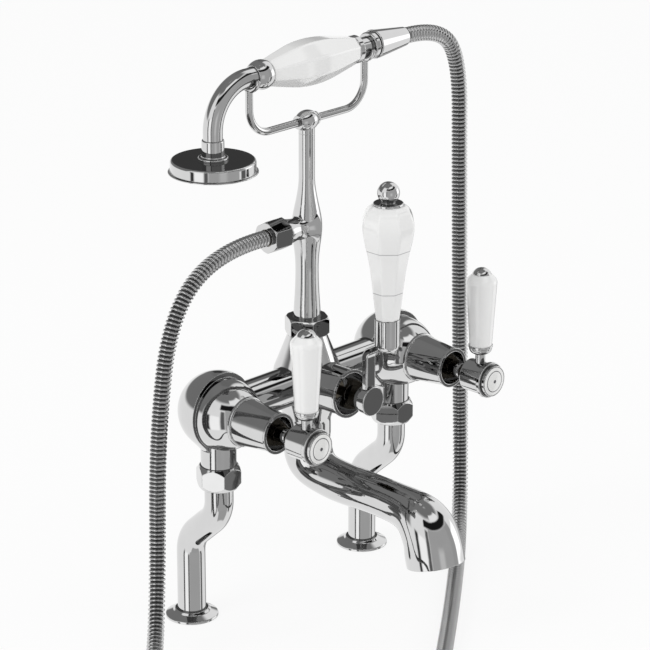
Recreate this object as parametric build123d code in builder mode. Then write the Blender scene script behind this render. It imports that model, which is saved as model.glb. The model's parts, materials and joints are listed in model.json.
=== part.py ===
from build123d import *
import math
import os

# A bath shower mixer that stands on a bath's deck, in millimetres.
# The origin is on the deck, midway between the two feet. +Z is up and the front is -Y.

# The whole mixer
inlet_centres = 180.0
bar_height = 167.0
bar_ahead = 30.0
branch_rise = 117.0
boss_rise = 77.7
handset_rise = 42.2

# Fits and gaps, each on the radius or along an axis
thread_fit = 0.1
running_fit = 0.05
sliding_fit = 0.05
seat_gap = 0.3
overrun = 2.0

# Cross bar, valve balls and centre body
bar_radius = 14.5
ball_radius = 28.6
ball_rise = 1.2
ball_crease_ahead = 4.0
ball_dome_radius = 26.0
ball_dome_front_radius = 17.2
ball_front = 28.0
ball_dome_bulge_shares = (0.93, 0.52)
neck_radius = 12.8
neck_drop = 47.5
waterway_radius = 7.5
bar_waterway_radius = 5.0
bar_waterway_ahead = 7.0
valve_bore_radius = 10.0
valve_bore_back = 8.0
bell_radius = 26.0
bell_shoulder_radius = 24.2
bell_shoulder_rise = 10.0
bell_top_radius = 14.2
bell_top = 35.5
bell_bottom_radius = 17.2
bell_cone_bottom = 29.0
bell_bottom = 40.6
bell_round = 9.0
diverter_seat = 20.0
diverter_bore_radius = 8.0
diverter_bore_back = 10.0

# Legs, their unions and the foot flanges
leg_radius = 10.4
leg_bore_radius = 7.5
leg_thread_radius = 8.0
leg_thread_length = 14.0
leg_bend_drop = 29.5
leg_bend_span = 26.5
leg_bend_radius = 24.0
leg_collar_radius = 12.3
leg_collar_thick = 2.5
leg_nut_height = 17.2
leg_nut_lip = 5.7
leg_nut_flats = 28.8
leg_nut_chamfer = 3.0
leg_nut_chamfer_length = 4.2
washer_thick = 1.5
foot_radius = 19.25
foot_edge = 1.6
foot_dome_radius = 13.6
foot_dome_height = 4.2
foot_collar_radius = 12.2
foot_collar_height = 6.0
foot_round = 0.8

# Spout
spout_socket_depth = 8.0
spout_socket_radius = 12.0
spout_spigot_bore_radius = 9.5
spout_drop_radius = 19.0
spout_axis_drop = 28.5
spout_run = 81.5
spout_run_slope = 2.5
spout_turn_radius = 27.0
spout_tip_slope = 77.0
spout_tip = 12.8
spout_wall = 2.2
spout_radii = (17.2, 17.5, 17.2, 15.4, 14.5, 15.5, 18.0, 20.0, 21.0, 21.2)
straightener_thick = 6.0
straightener_inset = 3.0
straightener_hole_radius = 2.0
straightener_hole_ring = 10.5
straightener_holes = 12

# Side valves, all measured forwards from the bar's axis
cartridge_front = 40.0
cartridge_nose_radius = 7.0
cartridge_flange_radius = 12.5
cartridge_flange_thick = 2.5
disc_start = -2.0
disc_thick = 3.0
cartridge_chamber_end = 13.0
cartridge_window_radius = 4.0
disc_radius = 7.5
disc_port_radius = 2.2
disc_port_offset = 4.0
spindle_radius = 4.0
spindle_end = 80.0
shroud_length = 33.0
shroud_base_radius = 17.0
shroud_lip_radius = 18.2
shroud_lip_thick = 2.2
shroud_mouth_radius = 14.0
shroud_ring_radius = 14.8
shroud_ring_thick = 1.6
shroud_wall = 1.6
shroud_floor = 3.0
hub_radius = 11.8
hub_neck_radius = 5.5
hub_neck_start = 60.5
hub_neck_end = 71.8
hub_neck_round = 3.0
hub_shoulder = 77.6
hub_shoulder_round = 2.0
hub_front = 98.0
hub_bezel_radius = 13.2
hub_bezel_length = 3.4
hub_bezel_wall = 1.0
hub_round = 0.6
index_groove = 0.8
index_stand = 3.2
index_ring_radius = 11.4
index_ring_wall = 1.0
index_ring_round = 0.3
index_depth = 2.6
index_crown = 0.7
screw_radius = 2.0
screw_head_radius = 3.6
screw_head_thick = 3.0
screw_socket_radius = 1.6
screw_reach = 8.0

# Side levers, measured up from the bar's axis
lever_ahead = 87.5
lever_stem_radius = 3.6
lever_stem_foot = 7.0
lever_cup_bottom = 18.5
lever_cup_top = 25.2
lever_cup_radius = 8.9
lever_cup_recess = 1.2
lever_cup_rim = 0.6
lever_bowl_radius = 8.4
lever_bowl_round = 4.6
lever_bead = 1.6
lever_bead_round = 0.4
lever_shoulder_radius = 11.4
lever_shoulder = 74.5
lever_grip_top = 79.5
lever_grip_top_radius = 6.6
lever_grip_round = 4.5
lever_cap_radius = 6.9
lever_cap_height = 4.4
lever_stud_radius = 2.0
lever_stud_reach = 3.0

# Diverter, measured forwards and up from the bar's axis
diverter_cartridge_front = 31.0
diverter_nose_radius = 6.4
diverter_flange_radius = 11.0
diverter_shroud_radius = 17.2
diverter_shroud_front = 43.6
diverter_spindle_radius = 3.5
diverter_spindle_end = 58.0
diverter_hub_radius = 10.85
diverter_hub_back_radius = 6.8
diverter_hub_back_round = 2.5
diverter_hub_start = 42.5
diverter_hub_shoulder_radius = 10.4
diverter_hub_shoulder = 60.0
diverter_hub_front = 65.9
diverter_arm_ahead = 61.2
diverter_arm_width = 9.6
diverter_arm_depth = 5.2
diverter_arm_round = 1.2
diverter_arm_foot = 8.2
diverter_arm_top = 37.0
diverter_jog_radius = 7.0
diverter_grip_ahead = 79.0
diverter_grip_join = 47.0
ferrule_radius = 8.95
ferrule_bottom = 42.0
ferrule_top = 66.0
ferrule_round = 5.0
ferrule_recess = 2.0
ferrule_wall = 0.5
diverter_grip_rises = (0.0, 12.0, 29.0, 45.5, 59.0, 68.6, 76.0, 81.0, 84.0)
diverter_grip_radii = (8.1, 9.6, 11.5, 13.9, 16.8, 18.0, 16.9, 14.2, 10.4)
grip_sides = 8
grip_edge_round = 1.6
finial_collar_radius = 10.8
finial_collar_thick = 1.6
finial_neck_radius = 4.6
finial_ball_radius = 8.0
finial_ball_rise = 8.6
finial_stud_radius = 2.5
finial_stud_reach = 5.0

# Riser and its hose branch
riser_nut_height = 13.0
riser_nut_lip = 3.6
riser_nut_chamfer = 1.6
riser_thread_radius = 12.4
riser_thread_length = 6.4
riser_flange_radius = 12.0
riser_flange_thick = 2.0
riser_bore_radius = 4.0
riser_radii = (9.8, 9.1, 8.4, 8.8, 10.7, 10.9, 8.8, 6.4, 5.8)
riser_height_shares = (0.05, 0.246, 0.483, 0.693, 0.916, 1.028, 1.209, 1.391, 1.503)
branch_radius = 9.4
branch_waist_radius = 8.2
branch_root_radius = 15.0
branch_end = 24.0
branch_thread_radius = 8.4
branch_thread_length = 8.5
branch_bore_radius = 4.5
union_nut_end = 41.0
union_nut_flats = 20.8
union_nut_lip = 4.0
union_nut_chamfer = 1.2
union_washer_thick = 1.0
hose_ferrule_collar_radius = 8.2
hose_ferrule_collar_thick = 2.5

# Cradle
cradle_left = 56.6
cradle_right = 58.7
cradle_wire_radius = 2.75
cradle_corner_radius = 19.0
fork_wire_radius = 1.8
fork_sweep = 78.0
boss_radius = 7.6
boss_half_length = 9.0
boss_end_radius = 4.9
boss_end_length = 1.4
boss_stub = 9.0
boss_stub_radius = 5.8

# Handset, measured along X from the middle of its grip
handset_grip_places = (-40.0, -26.0, -12.0, 2.5, 17.0, 31.0, 45.0)
handset_grip_radii = (9.0, 12.1, 14.7, 15.6, 14.7, 12.4, 9.8)
core_radius = 5.5
core_bore_radius = 4.3
bead_radius = 10.5
bead_centre = 43.6
bead_half_length = 9.6
bead_collar_radius = 9.4
neck_tube_radius = 6.9
neck_tube_bore_radius = 5.2
neck_tube_insert = 8.0
rose_centre = 91.6
neck_turn_radius = 32.0
collar_radius = 7.9
collar_height = 14.0
collar_base_radius = 10.5
collar_base_height = 2.0
collar_round = 0.8
rose_top_drop = 50.9
rose_top_radius = 29.8
rose_rim_overhang = 1.6
rose_depth = 8.8
rose_wall = 1.5
rose_round = 1.6
rose_rim_lip = 1.2
rose_face_thick = 2.0
rose_face_inset = 0.6
rose_seal_width = 1.6
rose_seal_thick = 1.2
rose_hole_radius = 0.8
rose_hole_rings = 4
rose_hole_margin = 4.25
rose_holes_per_ring = 6
tail_ring_radius = 10.2
tail_ring_length = 5.0
tail_groove_start = 51.5
tail_groove_end = 61.8
tail_bead_radius = 9.8
tail_end = 67.0
tail_thread_radius = 8.4
tail_thread_length = 9.0
tail_bore_radius = 4.3
tail_round = 1.2
cone_length = 33.2
cone_back_radius = 10.7
cone_tip_radius = 6.9
cone_round = 1.6
hose_washer_thick = 2.0

# Shower hose: real length 1.5 m, and its route from the riser's branch to the handset
hose_length = 1500.0
hose_radius = 6.0
hose_valley_radius = 5.3
hose_bore_radius = 4.0
hose_ribs = 200
hose_groove_share = 0.22
hose_bend_share = 0.45
hose_route = [
    (-41.3, -30.0, 284.0),
    (-88.0, -30.0, 286.0),
    (-134.0, -30.0, 252.0),
    (-148.5, -30.0, 168.0),
    (-151.0, -30.0, 58.0),
    (-187.0, -64.0, 6.4),
    (-269.0, -136.0, 6.4),
    (-275.5, -214.5, 6.4),
    (-226.0, -274.5, 6.4),
    (-146.0, -280.5, 6.4),
    (-14.0, -180.0, 6.4),
    (63.5, -119.0, 6.4),
    (135.0, -60.0, 6.4),
    (169.5, -30.0, 54.0),
    (166.0, -30.0, 160.0),
    (162.5, -30.0, 298.0),
    (161.0, -30.0, 378.0),
    (135.5, -30.0, 403.9),
    (100.8, -30.0, 403.9),
]

half_pitch = inlet_centres / 2
bar_y = -bar_ahead
neck_bottom = bar_height - neck_drop
leg_top = neck_bottom - washer_thick
leg_high_corner = leg_top - leg_bend_drop
leg_low_corner = leg_high_corner - leg_bend_span
lever_y = bar_y - lever_ahead
grip_y = bar_y - diverter_grip_ahead
riser_start = bell_top + riser_thread_length + washer_thick
riser_foot = riser_start + riser_flange_thick
branch_height = bar_height + branch_rise
boss_height = branch_height + boss_rise
handset_height = boss_height + handset_rise
index_front = hub_front + index_stand
index_radius = index_ring_radius - index_ring_wall
tail_start = handset_grip_places[-1]
bead_end = -handset_grip_places[0]
cone_start = tail_end + seat_gap
cone_end = cone_start + cone_length
rose_top = handset_height - rose_top_drop
rose_bottom = rose_top - rose_depth
rose_rim_radius = rose_top_radius + rose_rim_overhang

os.makedirs("parts", exist_ok=True)


def upright(x, y, z=bar_height):
    """A plane that stands across X, whose second coordinate is the height above z."""
    return Plane(origin=(x, y, z), x_dir=(1, 0, 0), z_dir=(0, -1, 0))


def upright_axis(x, y):
    return Axis((x, y, 0), (0, 0, 1))


def valve_plane(x):
    """A level plane at a valve: radius from the valve's axis, and distance ahead of the bar."""
    return Plane(origin=(x, bar_y, bar_height), x_dir=(1, 0, 0), z_dir=(0, 0, -1))


def valve_axis(x):
    return Axis((x, bar_y, bar_height), (0, -1, 0))


def ahead(x, distance, rise=0):
    """A plane that faces forwards, at a distance ahead of the bar's axis."""
    return Plane(origin=(x, bar_y - distance, bar_height + rise), x_dir=(1, 0, 0), z_dir=(0, -1, 0))


def handset_plane():
    """An upright plane along the handset: place along X, and radius from its axis."""
    return Plane(origin=(0, bar_y, handset_height), x_dir=(1, 0, 0), z_dir=(0, -1, 0))


def handset_axis():
    return Axis((0, bar_y, handset_height), (1, 0, 0))


def branch_plane():
    """An upright plane at the riser's branch: radius from its axis, and distance out along -X."""
    return Plane(origin=(0, bar_y, branch_height), x_dir=(0, 0, 1), z_dir=(0, -1, 0))


def branch_axis():
    return Axis((0, bar_y, branch_height), (1, 0, 0))


def turned(plane, axis, corners, mode=Mode.ADD):
    """Turns a closed outline of corners, each with its place and an optional rounding."""
    points = [corner[:2] for corner in corners]
    rounds = [corner[2] if len(corner) > 2 else 0 for corner in corners]
    with BuildSketch(plane) as outline:
        with BuildLine():
            FilletPolyline(*points, radius=rounds, close=True)
        make_face()
    revolve(outline.sketch, axis=axis, mode=mode)


def hex_nut(plane, axis, start, end, flats, chamfer, lip, lip_radius, thread_radius, lip_first):
    """A union nut: a hexagon whose ends are chamfered (depth, length), a wide thread and a narrow lip."""
    chamfer_depth, chamfer_length = chamfer
    corner_radius = flats / math.sqrt(3)
    low = start + lip if lip_first else start
    high = end if lip_first else end - lip
    turned(plane, axis, [
        (lip_radius, start), (corner_radius - chamfer_depth, start), (corner_radius, start + chamfer_length),
        (corner_radius, end - chamfer_length), (corner_radius - chamfer_depth, end), (lip_radius, end)])
    across = Plane(origin=plane.from_local_coords((0, start)), z_dir=plane.y_dir)
    with BuildSketch(across) as hexagon:
        RegularPolygon(radius=corner_radius, side_count=6)
    extrude(hexagon.sketch, amount=end - start, mode=Mode.INTERSECT)
    turned(plane, axis, [(0, low), (thread_radius, low), (thread_radius, high), (0, high)],
           mode=Mode.SUBTRACT)


def save(builder, name):
    builder.part.label = name
    export_step(builder.part, f"parts/{name}.step")


# Body: bar, two valve balls with necks, and the centre body, bored for the water
with BuildPart() as body:
    tangent_reach = math.hypot(neck_radius, ball_radius)
    tangent_angle = math.atan2(-ball_radius, neck_radius) + math.acos(ball_radius / tangent_reach)
    halfway_angle = (math.pi / 2 + tangent_angle) / 2
    for side in (-1, 1):
        ball_x = side * half_pitch
        with BuildSketch(upright(ball_x, bar_y, bar_height + ball_rise)):
            with BuildLine():
                tangent_point = (ball_radius * math.cos(tangent_angle), ball_radius * math.sin(tangent_angle))
                halfway_point = (ball_radius * math.cos(halfway_angle), ball_radius * math.sin(halfway_angle))
                ThreePointArc((0, ball_radius), halfway_point, tangent_point)
                Polyline(tangent_point, (neck_radius, -ball_radius), (neck_radius, -neck_drop - ball_rise),
                         (0, -neck_drop - ball_rise), (0, ball_radius))
            make_face()
        revolve(axis=upright_axis(ball_x, bar_y))
    for side in (-1, 1):
        with BuildSketch(ahead(side * half_pitch, ball_crease_ahead)):
            Circle(ball_radius + neck_drop)
        extrude(amount=ball_radius, mode=Mode.SUBTRACT)
    for side in (-1, 1):
        ball_x = side * half_pitch
        with BuildSketch(Plane(origin=(ball_x, bar_y, neck_bottom))):
            Circle(neck_radius)
        extrude(amount=neck_drop)
        with BuildSketch(valve_plane(ball_x)):
            with BuildLine():
                dome_across = ball_dome_bulge_shares[0] * ball_dome_radius
                dome_along = ball_crease_ahead + ball_dome_bulge_shares[1] * (ball_front - ball_crease_ahead)
                ThreePointArc((ball_dome_radius, ball_crease_ahead), (dome_across, dome_along),
                              (ball_dome_front_radius, ball_front))
                Polyline((ball_dome_front_radius, ball_front), (0, ball_front), (0, 0),
                         (ball_dome_radius, 0), (ball_dome_radius, ball_crease_ahead))
            make_face()
        revolve(axis=valve_axis(ball_x))
    with BuildSketch(Plane(origin=(-half_pitch, bar_y, bar_height), x_dir=(0, 1, 0), z_dir=(1, 0, 0))):
        Circle(bar_radius)
    extrude(amount=inlet_centres)
    turned(upright(0, bar_y), upright_axis(0, bar_y), [
        (0, bell_top), (bell_top_radius, bell_top), (bell_shoulder_radius, bell_shoulder_rise, bell_round),
        (bell_radius, 0, bell_round), (bell_shoulder_radius, -bell_shoulder_rise, bell_round),
        (bell_bottom_radius, -bell_cone_bottom, bell_round), (bell_bottom_radius, -bell_bottom),
        (0, -bell_bottom)])
    with BuildSketch(Plane(origin=(0, bar_y, bar_height + bell_top))):
        Circle(riser_thread_radius)
    extrude(amount=riser_thread_length)
    with BuildSketch(ahead(0, diverter_seat)):
        Circle(diverter_shroud_radius + seat_gap)
    extrude(amount=bell_radius, mode=Mode.SUBTRACT)
    bar_waterway_start = (-half_pitch, bar_y - bar_waterway_ahead, bar_height)
    with BuildSketch(Plane(origin=bar_waterway_start, x_dir=(0, 1, 0), z_dir=(1, 0, 0))):
        Circle(bar_waterway_radius)
    extrude(amount=inlet_centres, mode=Mode.SUBTRACT)
    for side in (-1, 1):
        ball_x = side * half_pitch
        with BuildSketch(Plane(origin=(ball_x, bar_y, neck_bottom - overrun))):
            Circle(waterway_radius)
        extrude(amount=neck_drop + overrun, mode=Mode.SUBTRACT)
        with BuildSketch(ahead(ball_x, -valve_bore_back)):
            Circle(valve_bore_radius)
        extrude(amount=valve_bore_back + ball_front + overrun, mode=Mode.SUBTRACT)
    with BuildSketch(ahead(0, -diverter_bore_back)):
        Circle(diverter_bore_radius)
    extrude(amount=diverter_bore_back + diverter_seat + overrun, mode=Mode.SUBTRACT)
    with BuildSketch(Plane(origin=(0, bar_y, bar_height - bell_bottom))):
        Circle(waterway_radius)
    extrude(amount=bell_bottom + bell_top + riser_thread_length + overrun, mode=Mode.SUBTRACT)
    with BuildSketch(Plane(origin=(0, bar_y, bar_height - bell_bottom - overrun))):
        Circle(spout_socket_radius)
    extrude(amount=overrun + spout_socket_depth, mode=Mode.SUBTRACT)
save(body, "body")


# Legs: tubes with a set-back foot, a collar at the top and a bore
for side, hand in ((-1, "left"), (1, "right")):
    leg_x = side * half_pitch
    with BuildPart() as leg:
        with BuildLine() as leg_path:
            FilletPolyline((leg_x, 0, 0), (leg_x, 0, leg_low_corner), (leg_x, bar_y, leg_high_corner),
                           (leg_x, bar_y, leg_top), radius=leg_bend_radius)
        with BuildSketch(Plane(origin=(leg_x, 0, 0))):
            Circle(leg_radius)
            Circle(leg_bore_radius, mode=Mode.SUBTRACT)
        sweep(path=leg_path.line)
        turned(upright(leg_x, bar_y, leg_top), upright_axis(leg_x, bar_y), [
            (leg_bore_radius, 0), (leg_collar_radius, 0), (leg_collar_radius, -leg_collar_thick),
            (leg_bore_radius, -leg_collar_thick)])
        with BuildSketch(Plane(origin=(leg_x, 0, 0))):
            Circle(leg_thread_radius)
        extrude(amount=leg_thread_length, mode=Mode.SUBTRACT)
    save(leg, f"{hand}_leg")

    with BuildPart() as leg_washer:
        with BuildSketch(Plane(origin=(leg_x, bar_y, leg_top))):
            Circle(leg_collar_radius)
            Circle(waterway_radius, mode=Mode.SUBTRACT)
        extrude(amount=washer_thick)
    save(leg_washer, f"{hand}_leg_washer")

    with BuildPart() as leg_nut:
        nut_start = -leg_collar_thick - leg_nut_lip
        hex_nut(upright(leg_x, bar_y, leg_top), upright_axis(leg_x, bar_y), nut_start,
                nut_start + leg_nut_height, leg_nut_flats,
                (leg_nut_chamfer, leg_nut_chamfer_length), leg_nut_lip,
                leg_radius + thread_fit, neck_radius + thread_fit, True)
    save(leg_nut, f"{hand}_leg_nut")

    with BuildPart() as foot_flange:
        turned(upright(leg_x, 0, 0), upright_axis(leg_x, 0), [
            (leg_radius + thread_fit, 0), (foot_radius, 0), (foot_radius, foot_edge, foot_round),
            (foot_dome_radius, foot_dome_height, foot_round),
            (foot_collar_radius, foot_collar_height, foot_round),
            (leg_radius + thread_fit, foot_collar_height)])
    save(foot_flange, f"{hand}_foot_flange")


# Spout: a tube that drops, runs forwards, turns down and widens to its outlet
spout_start = bar_height - bell_bottom
spout_axis_height = spout_start - spout_axis_drop
spout_start_slope = math.pi / 2
spout_middle_slope = math.radians(spout_run_slope)
spout_end_slope = math.radians(spout_tip_slope)
spout_drop_height = spout_axis_height + spout_drop_radius * math.cos(spout_middle_slope)


def spout_station(kind, share):
    """A point and a direction on the spout's centre line: ahead, up, and the slope downwards."""
    if kind == "drop":
        slope = spout_start_slope + share * (spout_middle_slope - spout_start_slope)
        return (bar_ahead + spout_drop_radius * (1 - math.sin(slope)),
                spout_drop_height - spout_drop_radius * math.cos(slope), slope)
    if kind == "run":
        out, up, slope = spout_station("drop", 1)
        return (out + share * spout_run * math.cos(slope), up - share * spout_run * math.sin(slope), slope)
    if kind == "turn":
        out, up, low = spout_station("run", 1)
        slope = low + share * (spout_end_slope - low)
        return (out + spout_turn_radius * (math.sin(slope) - math.sin(low)),
                up - spout_turn_radius * (math.cos(low) - math.cos(slope)), slope)
    out, up, slope = spout_station("turn", 1)
    return (out + share * spout_tip * math.cos(slope), up - share * spout_tip * math.sin(slope), slope)


spout_stations = [
    (bar_ahead, spout_start, spout_start_slope), spout_station("drop", 0), spout_station("drop", 1 / 2),
    spout_station("drop", 1), spout_station("run", 1 / 2), spout_station("run", 1),
    spout_station("turn", 1 / 3), spout_station("turn", 2 / 3), spout_station("turn", 1),
    spout_station("tip", 1)]


def spout_plane(station, further=0):
    out, up, slope = station
    along = (0, -math.cos(slope), -math.sin(slope))
    origin = (0, -out + further * along[1], up + further * along[2])
    return Plane(origin=origin, x_dir=(1, 0, 0), z_dir=along)


with BuildPart() as spout:
    for station, radius in zip(spout_stations, spout_radii):
        with BuildSketch(spout_plane(station)):
            Circle(radius)
    loft()
    with BuildSketch(Plane(origin=(0, bar_y, spout_start - spout_wall))):
        Circle(spout_radii[0] - spout_wall)
    for station, radius in list(zip(spout_stations, spout_radii))[1:]:
        with BuildSketch(spout_plane(station)):
            Circle(radius - spout_wall)
    loft(mode=Mode.SUBTRACT)
    with BuildSketch(Plane(origin=(0, bar_y, spout_start))):
        Circle(spout_spigot_bore_radius)
    extrude(amount=-spout_wall - overrun, mode=Mode.SUBTRACT)
    with BuildSketch(Plane(origin=(0, bar_y, spout_start))):
        Circle(spout_socket_radius - thread_fit)
        Circle(spout_spigot_bore_radius, mode=Mode.SUBTRACT)
    extrude(amount=spout_socket_depth - seat_gap)
save(spout, "spout")

with BuildPart() as straightener:
    straightener_radius = spout_radii[-2] - spout_wall - sliding_fit
    with BuildSketch(spout_plane(spout_stations[-1], -straightener_inset)):
        Circle(straightener_radius)
        Circle(straightener_hole_radius, mode=Mode.SUBTRACT)
        with PolarLocations(straightener_hole_ring, straightener_holes):
            Circle(straightener_hole_radius, mode=Mode.SUBTRACT)
        with PolarLocations(straightener_hole_ring / 2, straightener_holes // 2):
            Circle(straightener_hole_radius, mode=Mode.SUBTRACT)
    extrude(amount=-straightener_thick)
save(straightener, "spout_flow_straightener")


# Side valves and levers, one set for hot and one for cold
for side, water in ((-1, "hot"), (1, "cold")):
    x = side * half_pitch
    moving_disc_start = disc_start + disc_thick
    spindle_start = moving_disc_start + disc_thick

    with BuildPart() as seat_disc:
        with BuildSketch(ahead(x, disc_start)):
            Circle(disc_radius)
            with Locations((disc_port_offset, 0), (-disc_port_offset, 0)):
                Circle(disc_port_radius, mode=Mode.SUBTRACT)
        extrude(amount=disc_thick)
    save(seat_disc, f"{water}_seat_disc")

    with BuildPart() as moving_disc:
        with BuildSketch(ahead(x, moving_disc_start)):
            Circle(disc_radius - running_fit)
            with Locations((0, disc_port_offset), (0, -disc_port_offset)):
                Circle(disc_port_radius, mode=Mode.SUBTRACT)
        extrude(amount=disc_thick)
    save(moving_disc, f"{water}_moving_disc")

    with BuildPart() as cartridge:
        turned(valve_plane(x), valve_axis(x), [
            (disc_radius, disc_start), (valve_bore_radius - thread_fit, disc_start),
            (valve_bore_radius - thread_fit, ball_front), (cartridge_flange_radius, ball_front),
            (cartridge_flange_radius, ball_front + shroud_floor + cartridge_flange_thick),
            (cartridge_nose_radius, ball_front + shroud_floor + cartridge_flange_thick),
            (cartridge_nose_radius, cartridge_front), (spindle_radius + running_fit, cartridge_front),
            (spindle_radius + running_fit, cartridge_chamber_end), (disc_radius, cartridge_chamber_end)])
        turned(valve_plane(x), valve_axis(x), [
            (valve_bore_radius - thread_fit, ball_front), (cartridge_flange_radius + overrun, ball_front),
            (cartridge_flange_radius + overrun, ball_front + shroud_floor),
            (valve_bore_radius - thread_fit, ball_front + shroud_floor)], mode=Mode.SUBTRACT)
        window_ahead = (spindle_start + cartridge_chamber_end) / 2
        with BuildSketch(Plane(origin=(x, bar_y - window_ahead, bar_height), z_dir=(1, 0, 0))):
            Circle(cartridge_window_radius)
        extrude(amount=valve_bore_radius, both=True, mode=Mode.SUBTRACT)
    save(cartridge, f"{water}_cartridge")

    with BuildPart() as spindle:
        turned(valve_plane(x), valve_axis(x), [
            (0, spindle_start), (spindle_radius, spindle_start), (spindle_radius, spindle_end),
            (screw_radius, spindle_end), (screw_radius, spindle_end - screw_reach),
            (0, spindle_end - screw_reach)])
    save(spindle, f"{water}_spindle")

    shroud_end = ball_front + shroud_length
    with BuildPart() as shroud:
        turned(valve_plane(x), valve_axis(x), [
            (valve_bore_radius, ball_front), (shroud_lip_radius, ball_front),
            (shroud_lip_radius, ball_front + shroud_lip_thick, foot_round),
            (shroud_base_radius, ball_front + shroud_lip_thick),
            (shroud_mouth_radius, shroud_end - shroud_ring_thick),
            (shroud_ring_radius, shroud_end - shroud_ring_thick),
            (shroud_ring_radius, shroud_end), (shroud_mouth_radius - shroud_wall, shroud_end),
            (shroud_base_radius - shroud_wall, ball_front + shroud_floor),
            (valve_bore_radius, ball_front + shroud_floor)])
    save(shroud, f"{water}_shroud")

    index_back = index_front - index_depth
    screw_seat = index_back - screw_head_thick - seat_gap
    with BuildPart() as hub:
        turned(valve_plane(x), valve_axis(x), [
            (spindle_radius, hub_neck_start), (hub_neck_radius, hub_neck_start),
            (hub_neck_radius, hub_neck_end, hub_neck_round), (hub_radius, hub_shoulder, hub_shoulder_round),
            (hub_radius, hub_front - hub_bezel_length),
            (hub_bezel_radius, hub_front - hub_bezel_length, hub_round),
            (hub_bezel_radius, hub_front, hub_round), (hub_bezel_radius - hub_bezel_wall, hub_front),
            (hub_bezel_radius - hub_bezel_wall, hub_front - index_groove),
            (index_ring_radius, hub_front - index_groove),
            (index_ring_radius, index_front, index_ring_round), (index_radius, index_front),
            (index_radius, index_back), (screw_head_radius + thread_fit, index_back),
            (screw_head_radius + thread_fit, screw_seat), (screw_radius + thread_fit, screw_seat),
            (screw_radius + thread_fit, spindle_end), (spindle_radius, spindle_end)])
        with BuildSketch(Plane(origin=(x, lever_y, bar_height + lever_stem_foot))):
            Circle(lever_stem_radius + thread_fit)
        extrude(amount=hub_bezel_radius, mode=Mode.SUBTRACT)
    save(hub, f"{water}_hub")

    with BuildPart() as screw:
        turned(valve_plane(x), valve_axis(x), [
            (0, spindle_end - screw_reach), (screw_radius, spindle_end - screw_reach),
            (screw_radius, screw_seat), (screw_head_radius, screw_seat),
            (screw_head_radius, screw_seat + screw_head_thick),
            (screw_socket_radius, screw_seat + screw_head_thick),
            (screw_socket_radius, screw_seat + screw_head_thick / 2),
            (0, screw_seat + screw_head_thick / 2)])
    save(screw, f"{water}_handle_screw")

    with BuildPart() as index:
        with BuildSketch(valve_plane(x)):
            with BuildLine():
                disc_edge = index_radius - sliding_fit
                Polyline((disc_edge, index_front), (disc_edge, index_back), (0, index_back),
                         (0, index_front + index_crown))
                RadiusArc((0, index_front + index_crown), (disc_edge, index_front),
                          (disc_edge ** 2 + index_crown ** 2) / (2 * index_crown))
            make_face()
        revolve(axis=valve_axis(x))
    save(index, f"{water}_index")

    grip_foot = lever_cup_top - lever_cup_recess
    grip_foot_radius = lever_cup_radius - lever_cup_rim - sliding_fit
    with BuildPart() as lever_collar:
        turned(upright(x, lever_y), upright_axis(x, lever_y), [
            (0, lever_stem_foot), (lever_stem_radius, lever_stem_foot), (lever_stem_radius, lever_cup_bottom),
            (lever_bowl_radius, lever_cup_bottom, lever_bowl_round),
            (lever_bowl_radius, lever_cup_top - lever_bead),
            (lever_cup_radius, lever_cup_top - lever_bead, lever_bead_round),
            (lever_cup_radius, lever_cup_top, lever_bead_round / 2),
            (lever_cup_radius - lever_cup_rim, lever_cup_top), (lever_cup_radius - lever_cup_rim, grip_foot),
            (lever_stud_radius, grip_foot), (lever_stud_radius, grip_foot - lever_stud_reach),
            (0, grip_foot - lever_stud_reach)])
    save(lever_collar, f"{water}_lever_collar")

    with BuildPart() as lever_grip:
        turned(upright(x, lever_y), upright_axis(x, lever_y), [
            (lever_stud_radius + seat_gap, grip_foot), (grip_foot_radius, grip_foot),
            (grip_foot_radius, lever_cup_top),
            (lever_shoulder_radius, lever_shoulder, lever_grip_round),
            (lever_grip_top_radius, lever_grip_top, lever_cup_rim),
            (lever_stud_radius + seat_gap, lever_grip_top)])
    save(lever_grip, f"{water}_lever_grip")

    with BuildPart() as lever_cap:
        with BuildSketch(upright(x, lever_y)):
            with BuildLine():
                cap_top = lever_grip_top + lever_cap_height
                stud_foot = grip_foot - lever_stud_reach
                Polyline((0, cap_top), (0, stud_foot), (lever_stud_radius, stud_foot),
                         (lever_stud_radius, lever_grip_top), (lever_cap_radius, lever_grip_top))
                RadiusArc((lever_cap_radius, lever_grip_top), (0, cap_top),
                          -(lever_cap_radius ** 2 + lever_cap_height ** 2) / (2 * lever_cap_height))
            make_face()
        revolve(axis=upright_axis(x, lever_y))
    save(lever_cap, f"{water}_lever_cap")


# Diverter: cartridge, shroud, spindle, hub, and the tall handle on its stepped arm
with BuildPart() as diverter_cartridge:
    turned(valve_plane(0), valve_axis(0), [
        (diverter_spindle_radius + running_fit, 0), (diverter_bore_radius - thread_fit, 0),
        (diverter_bore_radius - thread_fit, diverter_seat + shroud_floor),
        (diverter_flange_radius, diverter_seat + shroud_floor),
        (diverter_flange_radius, diverter_seat + shroud_floor + cartridge_flange_thick),
        (diverter_nose_radius, diverter_seat + shroud_floor + cartridge_flange_thick),
        (diverter_nose_radius, diverter_cartridge_front),
        (diverter_spindle_radius + running_fit, diverter_cartridge_front)])
save(diverter_cartridge, "diverter_cartridge")

with BuildPart() as diverter_spindle:
    turned(valve_plane(0), valve_axis(0), [
        (0, 0), (diverter_spindle_radius, 0), (diverter_spindle_radius, diverter_spindle_end),
        (0, diverter_spindle_end)])
save(diverter_spindle, "diverter_spindle")

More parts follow.
